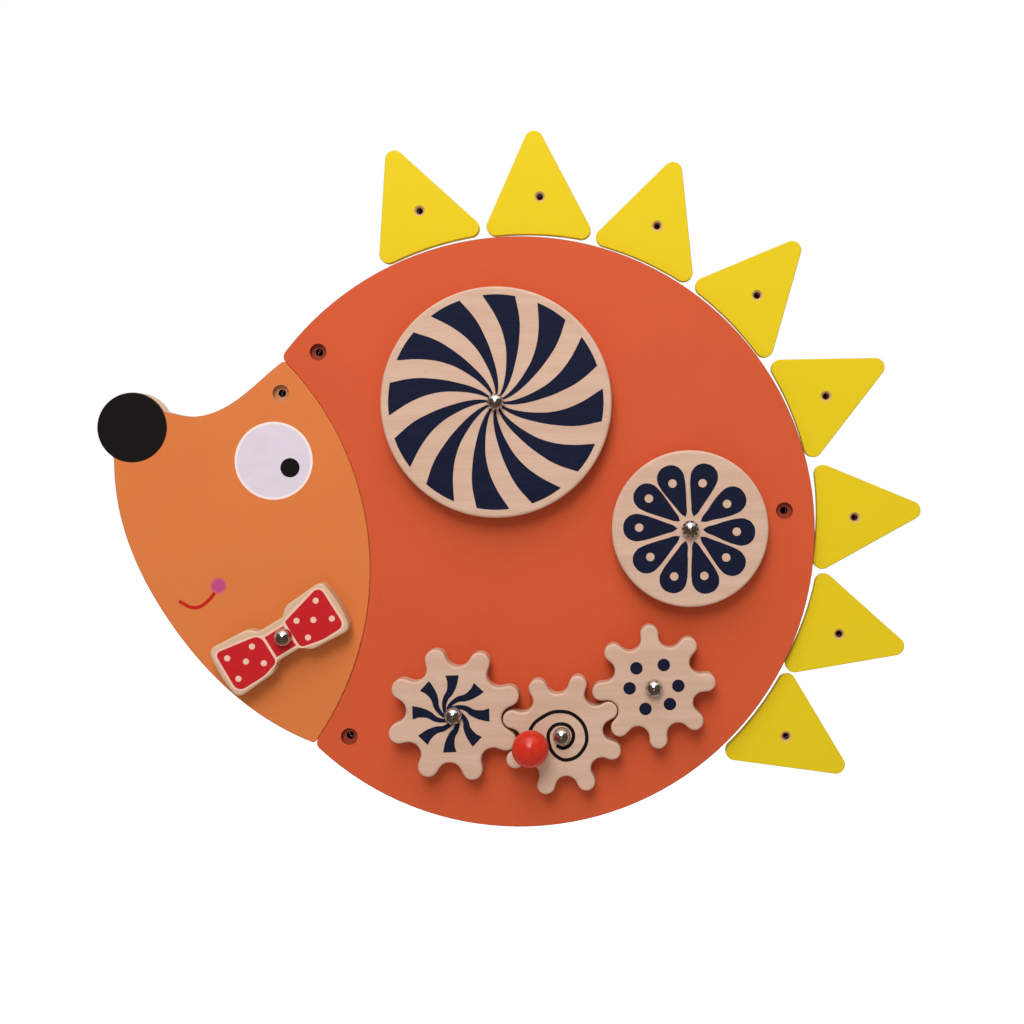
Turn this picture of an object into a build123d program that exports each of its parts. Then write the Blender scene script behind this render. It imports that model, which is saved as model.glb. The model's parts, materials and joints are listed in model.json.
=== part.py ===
from build123d import *
import os
from math import acos, asin, atan2, cos, degrees, radians, sin, sqrt

# Wall panel in the shape of a hedgehog with wheels, gears and a bow tie that turn.
# Frame: +X to the right and +Z up as one faces the panel. The wall is the plane Y = 0 and every
# piece stands in front of it, towards -Y. The origin is the centre of the round body panel, on the
# wall. A "height" below is a distance in front of the wall. All sizes are in millimetres, angles
# in degrees, counted from +X towards +Z.

# Boards
panel_thickness = 18.0
panel_edge_radius = 1.0
wheel_thickness = 18.0
wheel_edge_radius = 2.5
gear_edge_radius = 2.2

# Body panel, a disc that the head panel bites into along an arc
body_radius = 283.6
body_corner_radius = 8.0
joint_centre = (-428.6, -37.0)
joint_radius = 285.0
joint_gap = 0.3

# Head panel
head_top_step = 4.0
head_bottom_step = 0.5
head_corner_radius = 3.0
brow_points = ((-253.4, 141.2), (-284.6, 118.4), (-311.0, 110.4), (-330.0, 112.2))
brow_end = (-348.0, 117.5)
chin_point = (-253.5, -173.0)
jaw_point = (-332.0, -92.6)
cheek_point = (-382.8, 13.0)
snout_point = (-388.0, 92.0)
nose_centre = (-372.0, 99.8)
nose_radius = 33.7
nose_fillet_radius = 5.0

# Dowels across the joint between the panels
dowel_diameter = 8.0
dowel_length = 40.0
dowel_chamfer = 0.8
dowel_angles = (30.0, 12.0, -6.0, -23.0)
glue_space = 1.5
dowel_clearance = 0.05

# Counterbored holes for wall screws: the body's are given by angle and distance from its rim
wall_hole_diameter = 7.0
wall_counterbore_diameter = 16.0
wall_counterbore_depth = 6.0
body_wall_holes = ((138.3, 24.6), (4.5, 28.5), (230.3, 27.8))
head_wall_hole = (-229.2, 132.9)

# Spikes, a fan of leaning triangles around the body. Each one is hung on its own screw, a little
# off the even spacing: the pairs are its shift around the fan and its tilt about its hole.
spike_placing = (
    (0.0, 0.9),
    (-0.1, 1.4),
    (-0.2, 0.3),
    (-0.4, -0.6),
    (-0.7, -1.4),
    (-1.4, -3.5),
    (-0.9, -2.7),
    (0.0, -0.3),
)
spike_fan_centre = (-1.9, -1.6)
spike_fan_direction = 34.9
spike_thickness = 8.0
spike_width = 100.8
spike_height = 100.5
spike_lean = 7.8
spike_corner_radius = 9.0
spike_body_gap = 5.3
spike_spacing = 6.2
spike_hole_height = 36.7
spike_hole_diameter = 5.0
spike_countersink_diameter = 10.5

# Wheels
big_wheel_centre = (-20.4, 123.5)
big_wheel_radius = 109.2
small_wheel_centre = (162.9, 4.0)
small_wheel_radius = 74.0

# Gears: the crank gear stands between the other two and drives both
gear_teeth = 8
gear_tooth_depth = 19.2
gear_play = 2.2
gear_tip_clearance = 0.8
crank_gear_centre = (41.8, -190.8)
crank_gear_radius = 58.0
left_gear_radius = 64.3
left_gear_direction = 169.4
right_gear_radius = 58.4
right_gear_direction = 27.55

# Knob on the crank gear
knob_distance = 29.2
knob_direction = 196.3
knob_ball_diameter = 34.5
knob_ball_gap = 4.0
knob_peg_diameter = 12.0
knob_peg_chamfer = 1.0
knob_peg_depth_in_gear = 14.0
knob_peg_depth_in_ball = 18.0
knob_peg_clearance = 0.05

# Bow tie: its axle stands off the middle of the knot, along the length of the tie
bow_tie_centre = (-224.8, -100.7)
bow_tie_tilt = 31.4
bow_tie_axle_offset = 5.4
bow_tie_length = 130.5
bow_tie_end_height = 54.0
bow_tie_end_bulge = 3.0
bow_tie_shoulder_height = 48.5
bow_tie_shoulder_span = 42.0
bow_tie_shoulder_radius = 14.0
bow_tie_knot_width = 26.5
bow_tie_knot_height = 33.5
bow_tie_knot_radius = 4.0
bow_tie_corner_radius = 8.0
bow_tie_edge_radius = 2.5

# Axles: an M8 bolt from the back, spacer, sleeve, washer and round cap nut
bolt_diameter = 8.0
bolt_hole_clearance = 0.2
bolt_head_diameter = 17.0
bolt_head_thickness = 3.0
bolt_head_recess = 1.0
bolt_head_clearance = 1.5
bolt_socket_across_flats = 5.0
bolt_socket_depth = 2.0
bolt_tip_chamfer = 0.8
thread_engagement = 6.5
wheel_gap = 5.0
side_play = 0.3
running_clearance = 0.05
sleeve_diameter = 12.0
spacer_diameter = 24.0
spacer_edge_radius = 0.8
washer_diameter = 16.0
washer_thickness = 1.6
washer_hole_clearance = 0.2
washer_chamfer = 0.3
nut_diameter = 16.5
nut_height = 10.0
nut_chamfer = 0.6
nut_thread_clearance = 0.05
nut_hole_end_space = 1.0

# How near a corner lies to the place it is looked for
corner_tolerance = 0.01

# Heights of the axle stack, each piece resting on the one behind it
bolt_head_seat = bolt_head_recess + bolt_head_thickness
wheel_back = panel_thickness + wheel_gap
spacer_front = wheel_back - side_play
wheel_front = wheel_back + wheel_thickness
sleeve_front = wheel_front + side_play
washer_front = sleeve_front + washer_thickness
bolt_end = washer_front + thread_engagement


def front_plane(centre=(0, 0), height=0.0, turn=0.0):
    """Plane parallel to the wall that faces the front, with its own X along the angle turn."""
    return Plane(
        origin=(centre[0], -height, centre[1]),
        x_dir=(cos(radians(turn)), 0, sin(radians(turn))),
        z_dir=(0, -1, 0),
    )


def back_plane(centre, height):
    """Plane parallel to the wall that faces the wall."""
    return Plane(origin=(centre[0], -height, centre[1]), x_dir=(1, 0, 0), z_dir=(0, 1, 0))


def section_plane(centre):
    """Level plane through an axle: its own X is the distance from the axle, its Y the height."""
    return Plane(origin=(centre[0], 0, centre[1]), x_dir=(1, 0, 0), z_dir=(0, 0, -1))


def axle_axis(centre):
    """Line along which an axle stands out of the wall."""
    return Axis((centre[0], 0, centre[1]), (0, -1, 0))


def polar_point(centre, distance, angle):
    """Point at a distance and angle from a centre, in the plane of the wall."""
    return (
        centre[0] + distance * cos(radians(angle)),
        centre[1] + distance * sin(radians(angle)),
    )


def front_rim(piece):
    """Outer edges of the face that is furthest from the wall."""
    return piece.faces().sort_by(Axis.Y)[0].outer_wire().edges()


def back_rim(piece):
    """Outer edges of the face that is nearest to the wall."""
    return piece.faces().sort_by(Axis.Y)[-1].outer_wire().edges()


def bend(centre, radius, start_direction, end_direction):
    """Arc about a centre, from one direction to another by the shorter way."""
    middle_direction = (start_direction + end_direction).normalized()
    return ThreePointArc(
        centre + start_direction * radius,
        centre + middle_direction * radius,
        centre + end_direction * radius,
    )


# ---------------------------------------------------------------- panels


def joint_meeting(rim_radius, side, gap=0.0):
    """Where the joint arc crosses a circle about the origin: side 1 is above, -1 below."""
    arc_radius = joint_radius + gap
    joint_distance = Vector(*joint_centre).length
    towards_joint = degrees(atan2(joint_centre[1], joint_centre[0]))
    along = (rim_radius**2 + joint_distance**2 - arc_radius**2) / (2 * joint_distance)
    return polar_point((0, 0), rim_radius, towards_joint - side * degrees(acos(along / rim_radius)))


def joint_middle(gap=0.0):
    """Point of the joint arc that is furthest to the right."""
    return (joint_centre[0] + joint_radius + gap, joint_centre[1])


def wall_holes(centres):
    """Counterbored screw holes from the front of a panel."""
    with Locations(*[front_plane(centre, panel_thickness) for centre in centres]):
        CounterBoreHole(
            radius=wall_hole_diameter / 2,
            counter_bore_radius=wall_counterbore_diameter / 2,
            counter_bore_depth=wall_counterbore_depth,
            depth=panel_thickness,
        )


def axle_holes(centres):
    """Bolt holes through a panel, with a recess for the bolt's head at the back."""
    with Locations(*[back_plane(centre, 0) for centre in centres]):
        CounterBoreHole(
            radius=bolt_diameter / 2 + bolt_hole_clearance,
            counter_bore_radius=bolt_head_diameter / 2 + bolt_head_clearance,
            counter_bore_depth=bolt_head_seat,
            depth=panel_thickness,
        )


def dowel_plane(angle, start):
    """Plane across a dowel's line at a distance from the joint's centre, facing away from it."""
    x, z = polar_point(joint_centre, start, angle)
    return Plane(
        origin=(x, -panel_thickness / 2, z),
        x_dir=(0, 1, 0),
        z_dir=(cos(radians(angle)), 0, sin(radians(angle))),
    )


def dowel_holes():
    """Blind holes for the dowels, as long as a dowel and its glue space at both ends."""
    start = joint_radius - dowel_length / 2 - glue_space
    for angle in dowel_angles:
        with BuildSketch(dowel_plane(angle, start)) as mouth:
            Circle(dowel_diameter / 2 + dowel_clearance)
        extrude(mouth.sketch, amount=dowel_length + 2 * glue_space, mode=Mode.SUBTRACT)


def make_body_panel(axle_centres):
    """Round panel with the head's arc cut out of it."""
    top_corner = joint_meeting(body_radius, 1, joint_gap)
    bottom_corner = joint_meeting(body_radius, -1, joint_gap)
    with BuildPart() as body_panel:
        with BuildSketch(front_plane()) as outline:
            with BuildLine():
                ThreePointArc(top_corner, (body_radius, 0), bottom_corner)
                ThreePointArc(bottom_corner, joint_middle(joint_gap), top_corner)
            make_face()
            fillet(outline.vertices(), body_corner_radius)
        extrude(amount=panel_thickness)
        fillet(front_rim(body_panel), panel_edge_radius)
        wall_holes([polar_point((0, 0), body_radius - rim, angle) for angle, rim in body_wall_holes])
        axle_holes(axle_centres)
        dowel_holes()
    return body_panel.part


def make_head_panel(axle_centres):
    """Face with a round nose, bounded towards the body by the joint arc."""
    top_corner = joint_meeting(body_radius - head_top_step, 1)
    bottom_corner = joint_meeting(body_radius - head_bottom_step, -1)
    with BuildPart() as head_panel:
        with BuildSketch(front_plane()) as outline:
            with BuildLine():
                ThreePointArc(bottom_corner, joint_middle(), top_corner)
                Spline(top_corner, *brow_points, brow_end)
                Line(brow_end, snout_point)
                Spline(snout_point, cheek_point, jaw_point, chin_point, bottom_corner)
            make_face()
            fillet(outline.vertices().sort_by(Axis.X)[-2:], head_corner_radius)
            with Locations(nose_centre):
                Circle(nose_radius)
            fillet(nose_notches(outline), nose_fillet_radius)
        extrude(amount=panel_thickness)
        fillet(front_rim(head_panel), panel_edge_radius)
        wall_holes([head_wall_hole])
        axle_holes(axle_centres)
        dowel_holes()
    return head_panel.part


def nose_notches(outline):
    """The two corners where the round nose meets the face."""
    centre = Vector(*nose_centre)
    return outline.vertices().filter_by(
        lambda corner: abs((Vector(*corner) - centre).length - nose_radius) < corner_tolerance
    )


def make_dowel(angle):
    """Dowel across the joint, half in each panel."""
    with BuildPart() as dowel:
        with BuildSketch(dowel_plane(angle, joint_radius - dowel_length / 2)):
            Circle(dowel_diameter / 2)
        extrude(amount=dowel_length)
        chamfer(dowel.edges().filter_by(GeomType.CIRCLE), dowel_chamfer)
    return dowel.part


# ---------------------------------------------------------------- spikes


def spike_angles():
    """Directions of the spikes' holes: even spacing with one gap between corners, then the shifts."""
    corner_distance = body_radius + spike_body_gap + spike_corner_radius
    half_corner = degrees(asin((spike_width / 2 - spike_corner_radius) / corner_distance))
    half_space = degrees(asin((spike_corner_radius + spike_spacing / 2) / corner_distance))
    pitch = 2 * (half_corner + half_space)
    first = spike_fan_direction + pitch * (len(spike_placing) - 1) / 2
    return [first - pitch * place + shift for place, (shift, tilt) in enumerate(spike_placing)]


def spike_outline():
    """Rounded triangle along +X whose base follows the body's rim."""
    base_radius = body_radius + spike_body_gap
    corner_distance = base_radius + spike_corner_radius
    half_base = spike_width / 2 - spike_corner_radius
    corner_reach = sqrt(corner_distance**2 - half_base**2)
    low = Vector(corner_reach, -half_base)
    high = Vector(corner_reach, half_base)
    tip = Vector(base_radius + spike_height - spike_corner_radius, spike_lean)
    low_side = (tip - low).normalized().rotate(Axis.Z, -90)
    high_side = (tip - high).normalized().rotate(Axis.Z, 90)
    low_in = -low.normalized()
    high_in = -high.normalized()
    radius = spike_corner_radius
    with BuildLine() as outline:
        ThreePointArc(high + high_in * radius, Vector(base_radius, 0), low + low_in * radius)
        bend(low, radius, low_in, low_side)
        Line(low + low_side * radius, tip + low_side * radius)
        bend(tip, radius, low_side, high_side)
        Line(tip + high_side * radius, high + high_side * radius)
        bend(high, radius, high_side, high_in)
    return outline.edges()


def make_spike(angle, tilt):
    """Triangle with one countersunk wall hole, fixed to the wall by itself."""
    hole_distance = body_radius + spike_body_gap + spike_hole_height
    hole_centre = polar_point(spike_fan_centre, hole_distance, angle)
    tilted_origin = polar_point(hole_centre, -hole_distance, angle + tilt)
    with BuildPart() as spike:
        with BuildSketch(front_plane(tilted_origin, turn=angle + tilt)):
            make_face(spike_outline())
        extrude(amount=spike_thickness)
        fillet(front_rim(spike), panel_edge_radius)
        with Locations(front_plane(hole_centre, spike_thickness)):
            CounterSinkHole(
                radius=spike_hole_diameter / 2,
                counter_sink_radius=spike_countersink_diameter / 2,
                depth=spike_thickness,
                counter_sink_angle=90,
            )
    return spike.part


# ---------------------------------------------------------------- pieces that turn


def axle_bore(centre):
    """Bore in which a wheel runs on its sleeve."""
    with Locations(front_plane(centre, wheel_front)):
        Hole(radius=sleeve_diameter / 2 + running_clearance, depth=wheel_thickness)


def make_wheel(centre, radius):
    """Plain disc with rounded rims."""
    with BuildPart() as wheel:
        with BuildSketch(front_plane(centre, wheel_back)):
            Circle(radius)
        extrude(amount=wheel_thickness)
        fillet(front_rim(wheel) + back_rim(wheel), wheel_edge_radius)
        axle_bore(centre)
    return wheel.part


def gear_distance(first_radius, second_radius):
    """Distance between the axles of two gears that mesh."""
    return first_radius + second_radius - gear_tooth_depth + gear_tip_clearance


def meshed_turn(direction, driver_turn):
    """Angle of a gear whose valley takes the tooth of the driver that lies against it."""
    return 2 * direction - driver_turn + 180 + 180 / gear_teeth


def gear_outline(outer_radius):
    """Ring of round fingers and round valleys joined by straight flanks, a finger along +X."""
    half_pitch = 180 / gear_teeth
    root_radius = outer_radius - gear_tooth_depth
    flank_span = (outer_radius + root_radius) * sin(radians(half_pitch / 2))
    tip_radius = (flank_span - gear_play) / 2
    valley_radius = (flank_span + gear_play) / 2
    tip = Vector(outer_radius - tip_radius, 0)
    valley = Vector(root_radius + valley_radius, 0).rotate(Axis.Z, half_pitch)
    span = valley - tip
    flank_side = span.normalized().rotate(Axis.Z, -degrees(acos(flank_span / span.length)))
    tip_end = tip + flank_side * tip_radius
    valley_start = valley - flank_side * valley_radius
    with BuildLine() as outline:
        for tooth in range(gear_teeth):
            turn = tooth * 2 * half_pitch
            tip_start = Vector(tip_end.X, -tip_end.Y)
            valley_end = Vector(valley_start.X, -valley_start.Y).rotate(Axis.Z, 2 * half_pitch)
            next_start = tip_start.rotate(Axis.Z, 2 * half_pitch)
            tip_top = Vector(outer_radius, 0)
            valley_floor = Vector(root_radius, 0).rotate(Axis.Z, half_pitch)
            ThreePointArc(*[point.rotate(Axis.Z, turn) for point in (tip_start, tip_top, tip_end)])
            Line(*[point.rotate(Axis.Z, turn) for point in (tip_end, valley_start)])
            ThreePointArc(*[p.rotate(Axis.Z, turn) for p in (valley_start, valley_floor, valley_end)])
            Line(*[point.rotate(Axis.Z, turn) for point in (valley_end, next_start)])
    return outline.edges()


def make_gear(centre, radius, turn):
    """Gear with rounded teeth, one of them along the angle turn."""
    with BuildPart() as gear:
        with BuildSketch(front_plane(centre, wheel_back, turn)):
            make_face(gear_outline(radius))
        extrude(amount=wheel_thickness)
        fillet(front_rim(gear) + back_rim(gear), gear_edge_radius)
        axle_bore(centre)
    return gear.part


def make_crank_gear(centre, radius, turn, knob_centre):
    """Gear with a blind hole for the knob's peg."""
    with BuildPart() as gear:
        add(make_gear(centre, radius, turn))
        with Locations(front_plane(knob_centre, wheel_front)):
            Hole(radius=knob_peg_diameter / 2 + knob_peg_clearance, depth=knob_peg_depth_in_gear)
    return gear.part


def make_knob_peg(knob_centre):
    """Round peg glued into the gear and the ball."""
    with BuildPart() as peg:
        with BuildSketch(front_plane(knob_centre, wheel_front - knob_peg_depth_in_gear)):
            Circle(knob_peg_diameter / 2)
        extrude(amount=knob_peg_depth_in_gear + knob_ball_gap + knob_peg_depth_in_ball)
        chamfer(peg.edges().filter_by(GeomType.CIRCLE), knob_peg_chamfer)
    return peg.part


def make_knob_ball(knob_centre):
    """Ball with a blind hole for the peg."""
    ball_back = wheel_front + knob_ball_gap
    with BuildPart() as ball:
        with Locations(front_plane(knob_centre, ball_back + knob_ball_diameter / 2)):
            Sphere(knob_ball_diameter / 2)
        with BuildSketch(front_plane(knob_centre, ball_back)):
            Circle(knob_peg_diameter / 2 + knob_peg_clearance)
        extrude(amount=knob_peg_depth_in_ball, mode=Mode.SUBTRACT)
    return ball.part


def bow_tie_outline():
    """Knot with a wing on each side, drawn for one quarter and mirrored twice."""
    knot_corner = (bow_tie_knot_width / 2, bow_tie_knot_height / 2)
    shoulder = (bow_tie_shoulder_span / 2, bow_tie_shoulder_height / 2)
    half_length = bow_tie_length / 2
    half_end = bow_tie_end_height / 2
    end_corner = (half_length - bow_tie_end_bulge, half_end)
    end_radius = (half_end**2 + bow_tie_end_bulge**2) / (2 * bow_tie_end_bulge)
    with BuildLine() as outline:
        Polyline((0, bow_tie_knot_height / 2), knot_corner, shoulder, end_corner)
        RadiusArc(end_corner, (half_length, 0), end_radius)
        mirror(outline.line, about=Plane.XZ)
        mirror(outline.line, about=Plane.YZ)
    return outline.edges()


def corners_at(outline, distance):
    """Corners of a sketch at a distance to the left and right of its middle."""
    return outline.vertices().filter_by(lambda corner: abs(abs(corner.X) - distance) < corner_tolerance)


def make_bow_tie(axle_centre):
    """Bow tie with rounded edges that turns about an axle through its knot."""
    with BuildPart() as bow_tie:
        with BuildSketch(front_plane(bow_tie_centre, wheel_back, bow_tie_tilt)) as outline:
            make_face(bow_tie_outline())
            fillet(corners_at(outline, bow_tie_length / 2 - bow_tie_end_bulge), bow_tie_corner_radius)
            fillet(corners_at(outline, bow_tie_shoulder_span / 2), bow_tie_shoulder_radius)
            fillet(corners_at(outline, bow_tie_knot_width / 2), bow_tie_knot_radius)
        extrude(amount=wheel_thickness)
        fillet(front_rim(bow_tie) + back_rim(bow_tie), bow_tie_edge_radius)
        axle_bore(axle_centre)
    return bow_tie.part


# ---------------------------------------------------------------- axles


def make_bolt(centre):
    """Flat-headed bolt whose head lies below the back of the panel."""
    with BuildPart() as bolt:
        with BuildSketch(front_plane(centre, bolt_head_recess)):
            Circle(bolt_head_diameter / 2)
        extrude(amount=bolt_head_thickness)
        with BuildSketch(front_plane(centre, bolt_head_seat)):
            Circle(bolt_diameter / 2)
        extrude(amount=bolt_end - bolt_head_seat)
        chamfer(front_rim(bolt), bolt_tip_chamfer)
        with BuildSketch(front_plane(centre, bolt_head_recess)):
            RegularPolygon(bolt_socket_across_flats / 2, 6, major_radius=False)
        extrude(amount=bolt_socket_depth, mode=Mode.SUBTRACT)
    return bolt.part


def make_spacer(centre):
    """Ring between the panel and the sleeve that keeps the wheel off the panel."""
    with BuildPart() as spacer:
        with BuildSketch(front_plane(centre, panel_thickness)):
            Circle(spacer_diameter / 2)
            Circle(bolt_diameter / 2 + bolt_hole_clearance, mode=Mode.SUBTRACT)
        extrude(amount=spacer_front - panel_thickness)
        fillet(front_rim(spacer), spacer_edge_radius)
    return spacer.part


def make_sleeve(centre):
    """Steel tube that the nut clamps against the spacer, so that the wheel stays free."""
    with BuildPart() as sleeve:
        with BuildSketch(front_plane(centre, spacer_front)):
            Circle(sleeve_diameter / 2)
            Circle(bolt_diameter / 2 + bolt_hole_clearance, mode=Mode.SUBTRACT)
        extrude(amount=sleeve_front - spacer_front)
    return sleeve.part


def make_washer(centre):
    """Flat washer that covers the end of the sleeve and laps over the wheel."""
    with BuildPart() as washer:
        with BuildSketch(front_plane(centre, sleeve_front)):
            Circle(washer_diameter / 2)
            Circle(bolt_diameter / 2 + washer_hole_clearance, mode=Mode.SUBTRACT)
        extrude(amount=washer_thickness)
        chamfer(front_rim(washer), washer_chamfer)
    return washer.part


def make_cap_nut(centre):
    """Round cap nut with a domed end over a blind hole."""
    radius = nut_diameter / 2
    seat = washer_front
    dome_start = seat + nut_height - radius
    with BuildPart() as nut:
        with BuildSketch(section_plane(centre)):
            with BuildLine():
                Polyline(
                    (0, seat),
                    (radius - nut_chamfer, seat),
                    (radius, seat + nut_chamfer),
                    (radius, dome_start),
                )
                RadiusArc((radius, dome_start), (0, dome_start + radius), -radius)
                Line((0, dome_start + radius), (0, seat))
            make_face()
        revolve(axis=axle_axis(centre))
        with BuildSketch(front_plane(centre, seat)):
            Circle(bolt_diameter / 2 + nut_thread_clearance)
        extrude(amount=thread_engagement + nut_hole_end_space, mode=Mode.SUBTRACT)
    return nut.part


# ---------------------------------------------------------------- assembly


def save(part, name):
    """Label a finished piece and write it as its own STEP file."""
    part.label = name
    export_step(part, f"parts/{name}.step")


left_gear_centre = polar_point(
    crank_gear_centre, gear_distance(crank_gear_radius, left_gear_radius), left_gear_direction
)
right_gear_centre = polar_point(
    crank_gear_centre, gear_distance(crank_gear_radius, right_gear_radius), right_gear_direction
)
crank_gear_turn = right_gear_direction
knob_centre = polar_point(crank_gear_centre, knob_distance, knob_direction)
body_axles = {
    "big_wheel": big_wheel_centre,
    "small_wheel": small_wheel_centre,
    "left_gear": left_gear_centre,
    "crank_gear": crank_gear_centre,
    "right_gear": right_gear_centre,
}
bow_tie_axle = polar_point(bow_tie_centre, bow_tie_axle_offset, bow_tie_tilt)
head_axles = {"bow_tie": bow_tie_axle}

os.makedirs("parts", exist_ok=True)

save(make_body_panel(body_axles.values()), "body_panel")
save(make_head_panel(head_axles.values()), "head_panel")
for place, angle in enumerate(dowel_angles, start=1):
    save(make_dowel(angle), f"joint_dowel_{place}")
for place, (angle, (shift, tilt)) in enumerate(zip(spike_angles(), spike_placing), start=1):
    save(make_spike(angle, tilt), f"spike_{place}")

save(make_wheel(big_wheel_centre, big_wheel_radius), "big_wheel")
save(make_wheel(small_wheel_centre, small_wheel_radius), "small_wheel")
left_gear_turn = meshed_turn(left_gear_direction, crank_gear_turn)
right_gear_turn = meshed_turn(right_gear_direction, crank_gear_turn)
save(make_gear(left_gear_centre, left_gear_radius, left_gear_turn), "left_gear")
save(make_gear(right_gear_centre, right_gear_radius, right_gear_turn), "right_gear")
save(make_crank_gear(crank_gear_centre, crank_gear_radius, crank_gear_turn, knob_centre), "crank_gear")
save(make_knob_peg(knob_centre), "knob_peg")
save(make_knob_ball(knob_centre), "knob_ball")
save(make_bow_tie(bow_tie_axle), "bow_tie")

for name, centre in (body_axles | head_axles).items():
    save(make_bolt(centre), f"{name}_bolt")
    save(make_spacer(centre), f"{name}_spacer")
    save(make_sleeve(centre), f"{name}_sleeve")
    save(make_washer(centre), f"{name}_washer")
    save(make_cap_nut(centre), f"{name}_cap_nut")
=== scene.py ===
"""Finish of a hedgehog wall panel with two wheels, three gears and a bow tie that turn."""

import json
import logging
import math
from collections.abc import Iterable, Sequence
from dataclasses import dataclass
from enum import Enum
from typing import TypeAlias

import bpy
from mathutils import Matrix, Vector


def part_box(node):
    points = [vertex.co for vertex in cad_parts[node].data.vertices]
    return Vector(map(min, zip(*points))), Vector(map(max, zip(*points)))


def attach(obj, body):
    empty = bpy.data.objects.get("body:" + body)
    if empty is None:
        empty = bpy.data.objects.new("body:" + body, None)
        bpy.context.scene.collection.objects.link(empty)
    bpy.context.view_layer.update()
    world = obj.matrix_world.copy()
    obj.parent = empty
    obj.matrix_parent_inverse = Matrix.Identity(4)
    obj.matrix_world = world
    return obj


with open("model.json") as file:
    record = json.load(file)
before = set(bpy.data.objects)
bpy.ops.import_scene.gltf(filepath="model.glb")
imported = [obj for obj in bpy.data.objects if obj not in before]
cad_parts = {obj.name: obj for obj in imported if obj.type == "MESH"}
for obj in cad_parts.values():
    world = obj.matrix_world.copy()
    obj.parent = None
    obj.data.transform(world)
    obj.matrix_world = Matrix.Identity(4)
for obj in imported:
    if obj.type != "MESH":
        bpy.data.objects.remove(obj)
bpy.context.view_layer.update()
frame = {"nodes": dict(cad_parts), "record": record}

log = logging.getLogger("wall_panel")

Piece: TypeAlias = bpy.types.Object
Tree: TypeAlias = bpy.types.NodeTree
Socket: TypeAlias = bpy.types.NodeSocket
Colour: TypeAlias = str | Socket
Pair: TypeAlias = tuple[float, float]
Triple: TypeAlias = tuple[float, float, float]

MM = 0.001
WHITE = (1.0, 1.0, 1.0, 1.0)
# Scale of a wave texture that has one wave to the metre
WAVE_TURN = math.tau / 20

# How far faces stand in front of the wall, and how thick a layer of ink is, in millimetres
BOARD_FRONT = 18.0
SPIKE_FRONT = 8.0
TURNING_FRONT = 41.0
TURNING_BACK = 23.0
INK_THICKNESS = 0.12

# Places and sizes that finishes and shapes share, in millimetres and degrees
JOINT_CENTRE = (-428.6, -37.0)
JOINT_RADIUS = 285.0
EYE_CENTRE = (-236.0, 67.9)
EYE_RADIUS = 37.4
TIE_TILT = 31.4

# How finely shapes are drawn, in shares of a corner's turn, millimetres and degrees
CIRCLE_POINTS = 24
CORNER_SHARES = (1.0, 0.6, 0.2, -0.2, -0.6, -1.0)
CURVE_STEPS = 10
STROKE_STEPS = 2
WELD_DISTANCE = 0.002
SMOOTH_ANGLE = 40


class Body(Enum):
    """The bodies of the panel that pieces ride on."""

    WALL = "wall_panel"
    BIG_WHEEL = "big_wheel_turning"
    SMALL_WHEEL = "small_wheel_turning"
    LEFT_GEAR = "left_gear_turning"
    CRANK_GEAR = "crank_gear_turning"
    RIGHT_GEAR = "right_gear_turning"
    BOW_TIE = "bow_tie_turning"


# -------------------- materials


def linear(colour: str) -> tuple[float, float, float, float]:
    """Turns an sRGB hex colour to linear.

    Args:
        colour: Six hex digits, with or without a leading #.

    Returns:
        Linear red, green and blue, and an alpha of one.
    """
    digits = colour.lstrip("#")
    shares = [int(digits[place:place + 2], 16) / 255 for place in (0, 2, 4)]
    values = [share / 12.92 if share <= 0.04045 else ((share + 0.055) / 1.055) ** 2.4 for share in shares]
    return (values[0], values[1], values[2], 1.0)


def add_node(
    tree: Tree, kind: str, inputs: dict | None = None, target: Socket | None = None, **settings: object
) -> bpy.types.Node:
    """Adds a node to a tree.

    Args:
        tree: The tree that gets the node.
        kind: The node's type.
        inputs: For each input, by name or place, a value to set or an output to link.
        target: Input of another node that the new node's first output feeds.
        **settings: The node's own properties.

    Returns:
        The new node.
    """
    node = tree.nodes.new(kind)
    for name, value in settings.items():
        setattr(node, name, value)
    for key, value in (inputs or {}).items():
        if isinstance(value, Socket):
            tree.links.new(value, node.inputs[key])
        else:
            node.inputs[key].default_value = value
    if target is not None:
        tree.links.new(node.outputs[0], target)
    return node


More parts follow.
